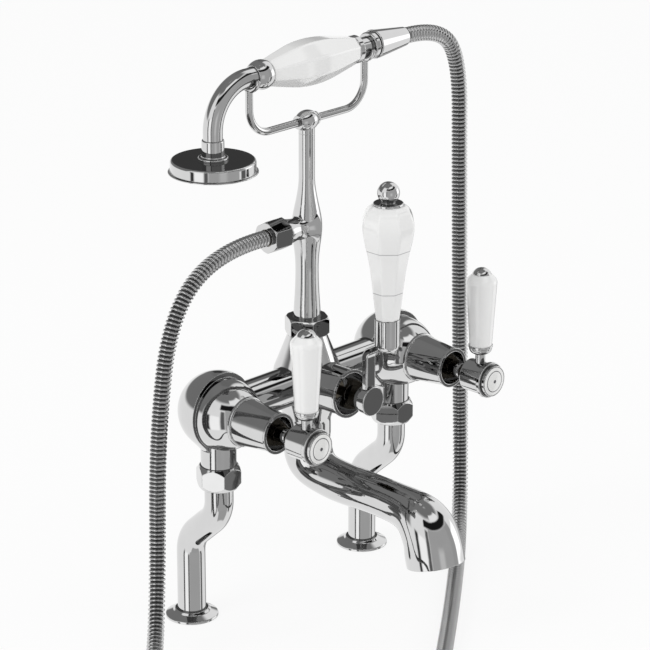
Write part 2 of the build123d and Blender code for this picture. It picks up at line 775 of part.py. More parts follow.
with BuildPart() as diverter_shroud:
    lip_back = diverter_shroud_front - shroud_ring_thick
    turned(valve_plane(0), valve_axis(0), [
        (diverter_bore_radius, diverter_seat), (diverter_shroud_radius, diverter_seat),
        (diverter_shroud_radius, lip_back), (diverter_shroud_radius + foot_round, lip_back),
        (diverter_shroud_radius + foot_round, diverter_shroud_front),
        (diverter_shroud_radius - shroud_wall, diverter_shroud_front),
        (diverter_shroud_radius - shroud_wall, diverter_seat + shroud_floor),
        (diverter_bore_radius, diverter_seat + shroud_floor)])
save(diverter_shroud, "diverter_shroud")

with BuildPart() as diverter_hub:
    turned(valve_plane(0), valve_axis(0), [
        (diverter_spindle_radius, diverter_hub_start),
        (diverter_hub_back_radius, diverter_hub_start, diverter_hub_back_round),
        (diverter_hub_shoulder_radius, diverter_hub_shoulder),
        (diverter_hub_radius, diverter_hub_front, hub_round), (0, diverter_hub_front),
        (0, diverter_spindle_end), (diverter_spindle_radius, diverter_spindle_end)])
    with BuildSketch(Plane(origin=(0, bar_y - diverter_arm_ahead, bar_height + diverter_arm_foot))):
        RectangleRounded(diverter_arm_width + seat_gap, diverter_arm_depth + seat_gap, diverter_arm_round)
    extrude(amount=diverter_hub_radius, mode=Mode.SUBTRACT)
save(diverter_hub, "diverter_hub")

with BuildPart() as diverter_arm:
    arm_y = bar_y - diverter_arm_ahead
    with BuildLine() as arm_path:
        FilletPolyline((0, arm_y, bar_height + diverter_arm_foot), (0, arm_y, bar_height + diverter_arm_top),
                       (0, grip_y, bar_height + diverter_grip_join), radius=diverter_jog_radius)
    with BuildSketch(Plane(origin=(0, arm_y, bar_height + diverter_arm_foot))):
        RectangleRounded(diverter_arm_width, diverter_arm_depth, diverter_arm_round)
    sweep(path=arm_path.line)
    turned(upright(0, grip_y), upright_axis(0, grip_y), [
        (0, ferrule_bottom), (ferrule_radius, ferrule_bottom, ferrule_round), (ferrule_radius, ferrule_top),
        (ferrule_radius - ferrule_wall, ferrule_top),
        (ferrule_radius - ferrule_wall, ferrule_top - ferrule_recess),
        (0, ferrule_top - ferrule_recess)])
    turned(upright(0, grip_y), upright_axis(0, grip_y), [
        (0, ferrule_top), (finial_stud_radius, ferrule_top),
        (finial_stud_radius, ferrule_top - ferrule_recess - finial_stud_reach),
        (0, ferrule_top - ferrule_recess - finial_stud_reach)], mode=Mode.SUBTRACT)
save(diverter_arm, "diverter_arm")

with BuildPart() as diverter_grip:
    for rise, radius in zip(diverter_grip_rises, diverter_grip_radii):
        with BuildSketch(Plane(origin=(0, grip_y, bar_height + ferrule_top + rise))):
            RegularPolygon(radius=radius, side_count=grip_sides, rotation=180 / grip_sides, major_radius=False)
    loft()
    fillet(diverter_grip.edges().filter_by(Axis.Z, reverse=True).filter_by(GeomType.LINE, reverse=True),
           grip_edge_round)
    with BuildSketch(Plane(origin=(0, grip_y, bar_height + ferrule_top - ferrule_recess))):
        Circle(ferrule_radius - ferrule_wall - sliding_fit)
    extrude(amount=ferrule_recess)
    with BuildSketch(Plane(origin=(0, grip_y, bar_height + ferrule_top - ferrule_recess))):
        Circle(finial_stud_radius + seat_gap)
    extrude(amount=diverter_grip_rises[-1] + ferrule_recess, mode=Mode.SUBTRACT)
save(diverter_grip, "diverter_grip")

finial_base = ferrule_top + diverter_grip_rises[-1]
finial_centre = finial_base + finial_ball_rise
with BuildPart() as finial:
    turned(upright(0, grip_y), upright_axis(0, grip_y), [
        (0, finial_base), (finial_collar_radius, finial_base),
        (finial_collar_radius, finial_base + finial_collar_thick, foot_round),
        (finial_neck_radius, finial_base + finial_collar_thick),
        (finial_neck_radius, finial_centre), (0, finial_centre)])
    with BuildSketch(Plane(origin=(0, grip_y, bar_height + finial_base))):
        Circle(finial_stud_radius)
    extrude(amount=-(finial_base - ferrule_top + ferrule_recess + finial_stud_reach))
    with Locations((0, grip_y, bar_height + finial_centre)):
        Sphere(finial_ball_radius)
save(finial, "diverter_finial")


# Riser: nut, washer, a vase-shaped tube with its hose branch, and the cradle on top
with BuildPart() as riser_washer:
    with BuildSketch(Plane(origin=(0, bar_y, bar_height + bell_top + riser_thread_length))):
        Circle(riser_flange_radius)
        Circle(riser_bore_radius, mode=Mode.SUBTRACT)
    extrude(amount=washer_thick)
save(riser_washer, "riser_washer")

with BuildPart() as riser_nut:
    hex_nut(upright(0, bar_y), upright_axis(0, bar_y), bell_top, bell_top + riser_nut_height, leg_nut_flats,
            (riser_nut_chamfer, riser_nut_chamfer),
            riser_nut_height - riser_thread_length - washer_thick - riser_flange_thick,
            riser_radii[0] + thread_fit, riser_thread_radius + thread_fit, False)
save(riser_nut, "riser_nut")

riser_top = boss_height - boss_stub
riser_heights = [riser_foot + share * (branch_rise - riser_foot) for share in riser_height_shares]
with BuildPart() as riser:
    with BuildSketch(upright(0, bar_y)):
        with BuildLine():
            tube_top = riser_top - bar_height
            curve_points = list(zip(riser_radii, riser_heights))
            Spline(*curve_points, tangents=[(0, 1), (0, 1)])
            Polyline(curve_points[-1], (riser_radii[-1], tube_top), (0, tube_top), (0, riser_start),
                     (riser_flange_radius, riser_start), (riser_flange_radius, riser_foot),
                     (riser_radii[0], riser_foot), curve_points[0])
        make_face()
    revolve(axis=upright_axis(0, bar_y))
    with BuildSketch(branch_plane()):
        with BuildLine():
            branch_root = (branch_root_radius, 0)
            thread_end = branch_end + branch_thread_length
            Spline(branch_root, (branch_waist_radius, branch_end / 2), (branch_radius, branch_end),
                   tangents=[(-1, 1), (0, 1)])
            Polyline((branch_radius, branch_end), (branch_thread_radius, branch_end),
                     (branch_thread_radius, thread_end), (0, thread_end), (0, 0), branch_root)
        make_face()
    revolve(axis=branch_axis())
    with BuildSketch(Plane(origin=(0, bar_y, bar_height + riser_start))):
        Circle(riser_bore_radius)
    extrude(amount=branch_rise - riser_start, mode=Mode.SUBTRACT)
    with BuildSketch(Plane(origin=(0, bar_y, branch_height), x_dir=(0, 1, 0), z_dir=(-1, 0, 0))):
        Circle(branch_bore_radius)
    extrude(amount=thread_end + overrun, mode=Mode.SUBTRACT)
save(riser, "riser")

with BuildPart() as boss:
    with BuildSketch(Plane(origin=(0, bar_y, boss_height), x_dir=(1, 0, 0), z_dir=(0, -1, 0))):
        with BuildLine():
            Line((-boss_half_length, 0), (-boss_half_length, boss_end_radius))
            Line((-boss_half_length, boss_end_radius), (-boss_half_length + boss_end_length, boss_end_radius))
            ThreePointArc((-boss_half_length + boss_end_length, boss_end_radius), (0, boss_radius),
                          (boss_half_length - boss_end_length, boss_end_radius))
            Polyline((boss_half_length - boss_end_length, boss_end_radius), (boss_half_length, boss_end_radius),
                     (boss_half_length, 0), (-boss_half_length, 0))
        make_face()
    revolve(axis=Axis((0, bar_y, boss_height), (1, 0, 0)))
    with BuildSketch(Plane(origin=(0, bar_y, riser_top))):
        Circle(boss_stub_radius)
    extrude(amount=boss_stub)
    with BuildSketch(Plane(origin=(0, bar_y, boss_height), z_dir=(1, 0, 0))):
        Circle(cradle_wire_radius + sliding_fit)
    extrude(amount=boss_half_length + overrun, both=True, mode=Mode.SUBTRACT)
save(boss, "cradle_boss")

fork_radius = neck_tube_radius + seat_gap + fork_wire_radius
arm_top = handset_height - fork_radius
with BuildPart() as cradle:
    with BuildLine() as wire_path:
        FilletPolyline((-cradle_left, bar_y, arm_top), (-cradle_left, bar_y, boss_height),
                       (cradle_right, bar_y, boss_height), (cradle_right, bar_y, arm_top),
                       radius=cradle_corner_radius)
    with BuildSketch(Plane(origin=(-cradle_left, bar_y, arm_top))):
        Circle(cradle_wire_radius)
    sweep(path=wire_path.line)
    for fork_x in (-cradle_left, cradle_right):
        fork_centre = Plane(origin=(fork_x, bar_y, handset_height), x_dir=(0, 1, 0), z_dir=(1, 0, 0))
        with BuildLine(fork_centre) as fork_path:
            CenterArc((0, 0), fork_radius, -90 - fork_sweep, 2 * fork_sweep)
        with BuildSketch(Plane(origin=fork_path.line @ 0, z_dir=fork_path.line % 0)):
            Circle(fork_wire_radius)
        sweep(path=fork_path.line)
        for end in (0, 1):
            with Locations(fork_path.line @ end):
                Sphere(fork_wire_radius)
save(cradle, "cradle")


# Hose ends: the union nut and ferrule at the riser, and the cone nut and washer at the handset
union_seat = branch_end + branch_thread_length + union_washer_thick
with BuildPart() as union_nut:
    hex_nut(branch_plane(), branch_axis(), branch_end + seat_gap, union_nut_end,
            union_nut_flats, (union_nut_chamfer, union_nut_chamfer),
            union_nut_end - union_seat - hose_ferrule_collar_thick,
            hose_radius + thread_fit, branch_thread_radius + thread_fit, False)
save(union_nut, "hose_union_nut")

with BuildPart() as inlet_washer:
    turned(branch_plane(), branch_axis(), [
        (branch_bore_radius, union_seat - union_washer_thick),
        (hose_ferrule_collar_radius, union_seat - union_washer_thick),
        (hose_ferrule_collar_radius, union_seat), (branch_bore_radius, union_seat)])
save(inlet_washer, "hose_inlet_washer")

with BuildPart() as hose_ferrule:
    collar_end = union_seat + hose_ferrule_collar_thick
    turned(branch_plane(), branch_axis(), [
        (hose_bore_radius, union_seat), (hose_ferrule_collar_radius, union_seat),
        (hose_ferrule_collar_radius, collar_end), (hose_radius, collar_end), (hose_radius, union_nut_end),
        (hose_bore_radius, union_nut_end)])
save(hose_ferrule, "hose_inlet_ferrule")


def unit(vector):
    length = math.sqrt(sum(part * part for part in vector))
    return tuple(part / length for part in vector)


def corner_turn(before, corner, after):
    into = unit(tuple(c - b for b, c in zip(before, corner)))
    out = unit(tuple(a - c for a, c in zip(after, corner)))
    return math.acos(max(-1, min(1, sum(i * o for i, o in zip(into, out)))))


hose_radii = []
for before, corner, after in zip(hose_route, hose_route[1:], hose_route[2:]):
    turn = corner_turn(before, corner, after)
    shorter = min(math.dist(before, corner), math.dist(corner, after))
    hose_radii.append(hose_bend_share * shorter / math.tan(turn / 2))
print("hose bend radii", [round(radius, 1) for radius in hose_radii])

with BuildPart() as shower_hose:
    with BuildLine() as hose_path:
        FilletPolyline(*hose_route, radius=hose_radii)
    hose_line = hose_path.wire()
    rib_pitch = 1 / hose_ribs
    steady = Vector(0, 1, 0)
    for rib in range(hose_ribs):
        groove = rib_pitch * hose_groove_share / 2
        rib_start = rib * rib_pitch
        rib_end = rib_start + rib_pitch
        for place, radius in ((rib_start, hose_valley_radius), (rib_start + groove, hose_radius),
                              (rib_end - groove, hose_radius), (rib_end - groove / 2, hose_valley_radius)):
            direction = hose_line % place
            steady = (steady - direction * steady.dot(direction)).normalized()
            with BuildSketch(Plane(origin=hose_line @ place, x_dir=steady, z_dir=direction)):
                Circle(radius)
    loft(ruled=True)
    with BuildSketch(Plane(origin=hose_line @ 0, z_dir=hose_line % 0)):
        Circle(hose_bore_radius)
    sweep(path=hose_line, mode=Mode.SUBTRACT)
save(shower_hose, "shower_hose")
print("hose length", round(hose_line.length, 1), "wanted", hose_length)
print("hose volume", round(shower_hose.part.volume), "outer section times length",
      round(math.pi * (hose_radius ** 2 - hose_bore_radius ** 2) * hose_line.length))


# Handset: rose, neck, ferrules, faceted grip on its core tube, tail and cone nut
with BuildPart() as handset_grip:
    for place, radius in zip(handset_grip_places, handset_grip_radii):
        with BuildSketch(Plane(origin=(place, bar_y, handset_height), x_dir=(0, 1, 0), z_dir=(1, 0, 0))):
            RegularPolygon(radius=radius, side_count=grip_sides, rotation=180 / grip_sides, major_radius=False)
    loft()
    fillet(handset_grip.edges().filter_by(GeomType.LINE, reverse=True), grip_edge_round)
    with BuildSketch(Plane(origin=(handset_grip_places[0], bar_y, handset_height), z_dir=(1, 0, 0))):
        Circle(core_radius + thread_fit)
    extrude(amount=handset_grip_places[-1] - handset_grip_places[0], mode=Mode.SUBTRACT)
save(handset_grip, "handset_grip")

bead_start = bead_centre + bead_half_length
neck_insert_end = bead_start - neck_tube_insert
with BuildPart() as front_ferrule:
    with BuildSketch(handset_plane()):
        with BuildLine():
            bead_left = (-bead_start, neck_tube_radius + sliding_fit)
            bead_arc_start = (-bead_start, neck_tube_radius + foot_round)
            ThreePointArc(bead_arc_start, (-bead_centre, bead_radius), (-bead_end, bead_collar_radius))
            Polyline((-bead_end, bead_collar_radius), (-bead_end, core_radius + sliding_fit),
                     (-neck_insert_end, core_radius + sliding_fit),
                     (-neck_insert_end, neck_tube_radius + sliding_fit), bead_left, bead_arc_start)
        make_face()
    revolve(axis=handset_axis())
save(front_ferrule, "handset_front_ferrule")

with BuildPart() as core_tube:
    turned(handset_plane(), handset_axis(), [
        (-neck_insert_end, core_bore_radius), (-neck_insert_end, core_radius),
        (tail_start + tail_ring_length, core_radius), (tail_start + tail_ring_length, core_bore_radius)])
save(core_tube, "handset_core_tube")

with BuildPart() as handset_neck:
    with BuildLine() as neck_path:
        FilletPolyline((-neck_insert_end, bar_y, handset_height), (-rose_centre, bar_y, handset_height),
                       (-rose_centre, bar_y, rose_top + collar_base_height), radius=neck_turn_radius)
    with BuildSketch(Plane(origin=(-neck_insert_end, bar_y, handset_height), z_dir=(-1, 0, 0))):
        Circle(neck_tube_radius)
        Circle(neck_tube_bore_radius, mode=Mode.SUBTRACT)
    sweep(path=neck_path.line)
save(handset_neck, "handset_neck")

with BuildPart() as rose_collar:
    turned(upright(-rose_centre, bar_y, rose_top), upright_axis(-rose_centre, bar_y), [
        (neck_tube_bore_radius, 0), (collar_base_radius, 0),
        (collar_base_radius, collar_base_height, foot_round),
        (collar_radius, collar_base_height, foot_round), (collar_radius, collar_height, collar_round),
        (neck_tube_radius + sliding_fit, collar_height), (neck_tube_radius + sliding_fit, collar_base_height),
        (neck_tube_bore_radius, collar_base_height)])
save(rose_collar, "rose_collar")

with BuildPart() as rose_body:
    turned(upright(-rose_centre, bar_y, rose_top), upright_axis(-rose_centre, bar_y), [
        (neck_tube_bore_radius, 0), (rose_top_radius, 0, rose_round),
        (rose_top_radius, -rose_depth + rose_rim_lip),
        (rose_rim_radius, -rose_depth + rose_rim_lip / 2, rose_rim_lip / 4),
        (rose_rim_radius, -rose_depth), (rose_top_radius - rose_wall, -rose_depth),
        (rose_top_radius - rose_wall, -rose_wall), (neck_tube_bore_radius, -rose_wall)])
save(rose_body, "rose_body")

face_radius = rose_top_radius - rose_wall - sliding_fit
rose_ring_step = (face_radius - rose_hole_margin) / rose_hole_rings
with BuildPart() as rose_face:
    with BuildSketch(Plane(origin=(-rose_centre, bar_y, rose_bottom + rose_face_inset))):
        Circle(face_radius)
        Circle(rose_hole_radius, mode=Mode.SUBTRACT)
        for ring in range(1, rose_hole_rings + 1):
            with PolarLocations(ring * rose_ring_step, ring * rose_holes_per_ring):
                Circle(rose_hole_radius, mode=Mode.SUBTRACT)
    extrude(amount=rose_face_thick)
save(rose_face, "rose_face")

seal_bottom = rose_bottom + rose_face_inset + rose_face_thick
with BuildPart() as rose_seal:
    with BuildSketch(Plane(origin=(-rose_centre, bar_y, seal_bottom))):
        Circle(face_radius)
        Circle(face_radius - rose_seal_width, mode=Mode.SUBTRACT)
    extrude(amount=rose_seal_thick)
save(rose_seal, "rose_seal")

tail_thread_end = tail_end + tail_thread_length
ring_end = tail_start + tail_ring_length
with BuildPart() as tail:
    turned(handset_plane(), handset_axis(), [
        (tail_start, core_radius + sliding_fit), (tail_start, tail_ring_radius, foot_round),
        (ring_end, tail_ring_radius, foot_round), (tail_groove_start, neck_tube_radius),
        (tail_groove_end, neck_tube_radius), (tail_groove_end, tail_bead_radius, tail_round),
        (tail_end, tail_bead_radius, tail_round), (tail_end, tail_thread_radius),
        (tail_thread_end, tail_thread_radius), (tail_thread_end, tail_bore_radius),
        (ring_end, tail_bore_radius), (ring_end, core_radius + sliding_fit)])
save(tail, "handset_tail")

with BuildPart() as hose_washer:
    turned(handset_plane(), handset_axis(), [
        (tail_thread_end, tail_bore_radius), (tail_thread_end, tail_thread_radius),
        (tail_thread_end + hose_washer_thick, tail_thread_radius),
        (tail_thread_end + hose_washer_thick, tail_bore_radius)])
save(hose_washer, "hose_washer")

with BuildPart() as cone:
    socket_radius = tail_thread_radius + thread_fit
    socket_end = tail_thread_end + hose_washer_thick
    turned(handset_plane(), handset_axis(), [
        (cone_start, socket_radius), (cone_start, cone_back_radius, foot_round),
        (cone_end, cone_tip_radius, cone_round), (cone_end, hose_bore_radius),
        (socket_end, hose_bore_radius), (socket_end, socket_radius)])
save(cone, "hose_cone")
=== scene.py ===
import bpy
import json
import math
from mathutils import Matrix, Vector


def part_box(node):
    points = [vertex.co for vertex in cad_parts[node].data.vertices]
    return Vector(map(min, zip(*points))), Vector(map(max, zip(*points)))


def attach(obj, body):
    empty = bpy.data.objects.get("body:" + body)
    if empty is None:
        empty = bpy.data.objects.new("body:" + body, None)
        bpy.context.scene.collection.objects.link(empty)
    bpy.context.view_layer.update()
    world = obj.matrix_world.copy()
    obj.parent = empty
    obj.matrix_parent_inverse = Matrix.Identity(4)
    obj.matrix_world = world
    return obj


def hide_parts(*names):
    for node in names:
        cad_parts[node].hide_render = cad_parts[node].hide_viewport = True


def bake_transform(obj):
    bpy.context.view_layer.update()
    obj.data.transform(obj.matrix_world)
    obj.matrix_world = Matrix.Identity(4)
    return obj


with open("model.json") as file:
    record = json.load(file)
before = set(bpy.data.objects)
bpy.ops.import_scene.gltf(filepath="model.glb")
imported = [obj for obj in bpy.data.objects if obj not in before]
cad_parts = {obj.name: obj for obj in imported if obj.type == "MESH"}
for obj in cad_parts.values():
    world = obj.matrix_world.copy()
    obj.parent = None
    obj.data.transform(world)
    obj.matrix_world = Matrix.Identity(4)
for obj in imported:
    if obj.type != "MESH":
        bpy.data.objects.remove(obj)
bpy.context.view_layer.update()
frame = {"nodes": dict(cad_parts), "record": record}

MM = 0.001
WHITE = (1.0, 1.0, 1.0, 1.0)


def add_object(name, data):
    """A new object of the scene that holds a mesh, a lamp or other data."""
    holder = bpy.data.objects.new(name, data)
    bpy.context.scene.collection.objects.link(holder)
    return holder


# Camera: the photograph's viewing angle, for a square frame
CAMERA_PLACE = (-1.502, -1.503, 0.972)
CAMERA_HEADING = math.radians(45.91)
CAMERA_DIP = math.radians(19.95)
CAMERA_LENS = 172.0
CAMERA_SENSOR = 36.0
CAMERA_REACH = 50.0

camera_data = bpy.data.cameras.new("camera")
camera_data.lens = CAMERA_LENS
camera_data.sensor_width = CAMERA_SENSOR
camera_data.clip_end = CAMERA_REACH
camera = add_object("camera", camera_data)
camera.location = CAMERA_PLACE
camera.rotation_euler = (math.pi / 2 - CAMERA_DIP, 0.0, -CAMERA_HEADING)
bpy.context.scene.camera = camera
bpy.context.scene.view_settings.view_transform = "Standard"


# Shader nodes: what the materials and the studio share
def new_material(name):
    """A new material, with its node tree and its shader."""
    material = bpy.data.materials.new(name)
    material.use_nodes = True
    shader = material.node_tree.nodes["Principled BSDF"]
    return material, material.node_tree, shader


def add_node(tree, kind, **values):
    """A new node, whose sockets or settings take the named values."""
    node = tree.nodes.new(kind)
    for key, value in values.items():
        if key in node.inputs:
            node.inputs[key].default_value = value
        else:
            setattr(node, key, value)
    return node


def feed(tree, value, socket):
    """Gives a socket a number, a colour or another node's output."""
    if isinstance(value, bpy.types.NodeSocket):
        tree.links.new(value, socket)
    else:
        socket.default_value = value


def math_node(tree, operation, *values):
    """The result of a maths node on numbers and other nodes' outputs."""
    node = add_node(tree, "ShaderNodeMath", operation=operation)
    for socket, value in zip(node.inputs, values):
        feed(tree, value, socket)
    return node.outputs["Value"]


def ranged(tree, value, source, target, curve="LINEAR"):
    """A value taken from one range to another, and kept inside it."""
    node = add_node(tree, "ShaderNodeMapRange", interpolation_type=curve)
    for key, limit in zip(("From Min", "From Max", "To Min", "To Max"), (*source, *target)):
        node.inputs[key].default_value = limit
    tree.links.new(value, node.inputs["Value"])
    return node.outputs["Result"]


def mixed(tree, kind, share, low, high):
    """A number or colour between two others, by a share from 0 to 1."""
    node = add_node(tree, "ShaderNodeMix", data_type=kind)
    tree.links.new(share, node.inputs["Factor"])
    feed(tree, low, node.inputs["A"])
    feed(tree, high, node.inputs["B"])
    return node.outputs["Result"]


def noise(tree, values):
    """Noise from 0 to 1 over an object's own coordinates."""
    place = add_node(tree, "ShaderNodeTexCoord")
    node = add_node(tree, "ShaderNodeTexNoise", **values)
    tree.links.new(place.outputs["Object"], node.inputs["Vector"])
    return node.outputs["Fac"]


def relief(tree, height, values, under=None):
    """A normal that follows a height, laid over another normal where there is one."""
    node = add_node(tree, "ShaderNodeBump", **values)
    tree.links.new(height, node.inputs["Height"])
    if under:
        tree.links.new(under, node.inputs["Normal"])
    return node.outputs["Normal"]


def shade(colour, share):
    """A colour made darker or lighter by a share, and opaque."""
    return (*[min(1.0, channel * share) for channel in colour], 1.0)


def dress(tree, shader, colour, roughness, normal):
    """Joins a surface's colour, roughness and normal to its shader."""
    tree.links.new(colour, shader.inputs["Base Color"])
    tree.links.new(roughness, shader.inputs["Roughness"])
    tree.links.new(normal, shader.inputs["Normal"])


# Plating: small stains in its tint and polish, slow waves, a fine grain, and edges that look rounded
STAINS = {"Scale": 70.0, "Detail": 3.0, "Roughness": 0.6}
STAIN_TINT = 0.015
STAIN_TINT_RANGE = (0.3, 0.7)
STAIN_POLISH_RANGE = (0.35, 0.7)
POLISH_SHARES = (0.7, 1.5)
WAVES = {"Scale": 18.0, "Detail": 1.0, "Roughness": 0.4}
WAVE_RELIEF = {"Strength": 0.02, "Distance": 0.01}
PLATING_GRAIN = {"Scale": 900.0, "Detail": 2.0, "Roughness": 0.5}
PLATING_RELIEF = {"Strength": 0.004, "Distance": 0.001}
EDGE_SAMPLES = 6


def chrome(name, brightness, roughness, edge_radius):
    """Polished plating over a cast or turned surface."""
    material, tree, shader = new_material(name)
    shader.inputs["Metallic"].default_value = 1.0
    stains = noise(tree, STAINS)
    tint = ranged(tree, stains, STAIN_TINT_RANGE, (brightness - STAIN_TINT, brightness + STAIN_TINT))
    polish = ranged(tree, stains, STAIN_POLISH_RANGE, [roughness * share for share in POLISH_SHARES])
    rounded = None
    if edge_radius:
        edges = add_node(tree, "ShaderNodeBevel", Radius=edge_radius, samples=EDGE_SAMPLES)
        rounded = edges.outputs["Normal"]
    waves = relief(tree, noise(tree, WAVES), WAVE_RELIEF, rounded)
    grain = relief(tree, noise(tree, PLATING_GRAIN), PLATING_RELIEF, waves)
    dress(tree, shader, tint, polish, grain)
    return material


# Glaze: a clear gloss over a body, with faint pooling
GLAZE_COAT = 0.6
GLAZE_COAT_ROUGHNESS = 0.02
GLAZE_POOLING = {"Scale": 45.0, "Detail": 2.0, "Roughness": 0.5}
GLAZE_POOLED_SHADE = 0.975
GLAZE_ROUGHNESS = (0.06, 0.108)
GLAZE_RELIEF = {"Strength": 0.02, "Distance": 0.004}


def glazed(name, colour):
    """Glazed ceramic in one colour."""
    material, tree, shader = new_material(name)
    shader.inputs["Coat Weight"].default_value = GLAZE_COAT
    shader.inputs["Coat Roughness"].default_value = GLAZE_COAT_ROUGHNESS
    pooling = noise(tree, GLAZE_POOLING)
    tint = mixed(tree, "RGBA", pooling, shade(colour, GLAZE_POOLED_SHADE), shade(colour, 1.0))
    shine = ranged(tree, pooling, (0.0, 1.0), GLAZE_ROUGHNESS)
    dress(tree, shader, tint, shine, relief(tree, pooling, GLAZE_RELIEF))
    return material


# Plain materials of the small pieces: a grain in the colour, the roughness and the height
PLAIN_GRAIN = {"Scale": 300.0, "Detail": 3.0, "Roughness": 0.6}
PLAIN_SHADES = (0.85, 1.1)
PLAIN_ROUGHNESS_SHARES = (0.8, 1.3)
PLAIN_RELIEF = {"Strength": 0.05, "Distance": 0.001}


def plain(name, colour, metallic, roughness):
    """A bare metal, rubber, plastic or ground ceramic."""
    material, tree, shader = new_material(name)
    shader.inputs["Metallic"].default_value = metallic
    grain = noise(tree, PLAIN_GRAIN)
    tint = mixed(tree, "RGBA", grain, *[shade(colour, share) for share in PLAIN_SHADES])
    rough = ranged(tree, grain, (0.0, 1.0), [roughness * share for share in PLAIN_ROUGHNESS_SHARES])
    dress(tree, shader, tint, rough, relief(tree, grain, PLAIN_RELIEF))
    return material


# The material of each slot. A plating has its brightness, its roughness and the radius that its edges seem
# to have, a glaze its colour, and a plain material its colour, its share of metal and its roughness.
SLOT_MATERIALS = {
    "chrome": chrome("polished_chrome", 0.66, 0.02, 0.6 * MM),
    "hose_chrome": chrome("hose_metal", 0.55, 0.05, 0.0),
    "white_ceramic": glazed("white_glaze", (0.89, 0.89, 0.885)),
    "index_enamel": glazed("index_glaze", (0.84, 0.84, 0.83)),
    "valve_ceramic": plain("ground_ceramic", (0.80, 0.78, 0.72), 0.0, 0.35),
    "bare_brass": plain("machined_brass", (0.30, 0.27, 0.22), 1.0, 0.3),
    "steel_screw": plain("screw_steel", (0.55, 0.55, 0.56), 1.0, 0.25),
    "black_rubber": plain("rubber", (0.02, 0.02, 0.02), 0.0, 0.6),
    "white_plastic": plain("moulded_plastic", (0.80, 0.80, 0.78), 0.0, 0.35),
}

node_slots = {row["node"]: row["material_slot"] for row in frame["record"]["subparts"]}
for node_name, node_object in frame["nodes"].items():
    for slot in node_object.material_slots:
        slot.material = SLOT_MATERIALS[node_slots[node_name]]


# Meshes: loops of points that are joined in turn
def turn(count):
    """Even angles once around."""
    return [2 * math.pi * number / count for number in range(count)]


def looped_mesh(name, loops, closed):
    """A mesh that joins loops of points in turn: the last one to the first, or both ends capped."""
    count = len(loops[0])
    mesh = bpy.data.meshes.new(name)
    faces = []
    for index in range(len(loops) if closed else len(loops) - 1):
        low, high = index * count, (index + 1) % len(loops) * count
        for number in range(count):
            after = (number + 1) % count
            faces.append((low + number, low + after, high + after, high + number))
    sides = len(faces)
    if not closed:
        faces.append(tuple(range(count - 1, -1, -1)))
        faces.append(tuple((len(loops) - 1) * count + number for number in range(count)))
    mesh.from_pydata([place for loop in loops for place in loop], [], faces)
    mesh.update()
    for polygon in mesh.polygons[:sides]:
        polygon.use_smooth = not closed
    return mesh


def add_piece(name, mesh, material, body, node=None):
    """A piece that rides on a body, in place of a node where one is named."""
    mesh.materials.append(material)
    piece = add_object(name, mesh)
    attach(piece, body)
    if node:
        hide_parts(node)


# Shower hose: a close-wound metal hose that follows the route's spline, with painted shade in the gaps
# between its ribs
HOSE_SEGMENTS = 28
HOSE_ROUTE = [
    (-0.0413, -0.030, 0.284), (-0.088, -0.030, 0.286), (-0.134, -0.030, 0.252), (-0.1485, -0.030, 0.168),
    (-0.151, -0.030, 0.058), (-0.187, -0.064, 0.0064), (-0.269, -0.136, 0.0064), (-0.2755, -0.2145, 0.0064),
    (-0.226, -0.2745, 0.0064), (-0.146, -0.2805, 0.0064), (-0.014, -0.180, 0.0064), (0.0635, -0.119, 0.0064),
    (0.135, -0.060, 0.0064), (0.1695, -0.030, 0.054), (0.166, -0.030, 0.160), (0.1625, -0.030, 0.298),
    (0.161, -0.030, 0.378), (0.1355, -0.030, 0.4039), (0.1008, -0.030, 0.4039),
]
SPLINE_ORDER = 3
SPLINE_RESOLUTION = 40

# One rib: its pitch in metres, the steps that the line takes along it, and its outline as shares of the
# pitch and radii in millimetres. The strips that start at its first and last rows are the floor of the gap,
# which is painted black as shade.
RIB_PITCH = 3.05 * MM
RIB_STEPS = 24
RIB_OUTLINE = (
    (0.00, 4.75), (0.14, 4.75), (0.20, 5.35), (0.28, 5.74), (0.38, 5.94),
    (0.50, 6.00), (0.62, 5.94), (0.72, 5.74), (0.80, 5.35), (0.86, 4.75),
)
RIB_PAINTED_SHADE_ROWS = (0, len(RIB_OUTLINE) - 1)


def spline_points(points):
    """The line that a smooth spline takes through its control points."""
    curve = bpy.data.curves.new("hose_route", "CURVE")
    curve.dimensions = "3D"
    spline = curve.splines.new("NURBS")
    spline.points.add(len(points) - 1)
    for point, place in zip(spline.points, points):
        point.co = (*place, 1.0)
    spline.order_u = SPLINE_ORDER
    spline.use_endpoint_u = True
    spline.resolution_u = SPLINE_RESOLUTION
    holder = add_object("hose_route", curve)
    mesh = bpy.data.meshes.new_from_object(holder)
    line = [vertex.co.copy() for vertex in mesh.vertices]
    bpy.data.objects.remove(holder)
    bpy.data.meshes.remove(mesh)
    bpy.data.curves.remove(curve)
    return line


def even_points(line, step):
    """Points at an even step along a line."""
    distances = [0.0]
    for before, after in zip(line, line[1:]):
        distances.append(distances[-1] + (after - before).length)
    length = distances[-1]
    count = round(length / step)
    places = []
    index = 0
    for number in range(count + 1):
        wanted = length * number / count
        while index < len(line) - 2 and distances[index + 1] < wanted:
            index += 1
        share = (wanted - distances[index]) / (distances[index + 1] - distances[index])
        places.append(line[index].lerp(line[index + 1], share))
    return places


def frames_along(places):
    """A steady pair of directions across a line at each of its points."""
    across = Vector((0.0, 1.0, 0.0))
    result = []
    for index in range(len(places)):
        before = places[max(index - 1, 0)]
        after = places[min(index + 1, len(places) - 1)]
        direction = (after - before).normalized()
        across = (across - direction * across.dot(direction)).normalized()
        result.append((across.copy(), direction.cross(across)))
    return result


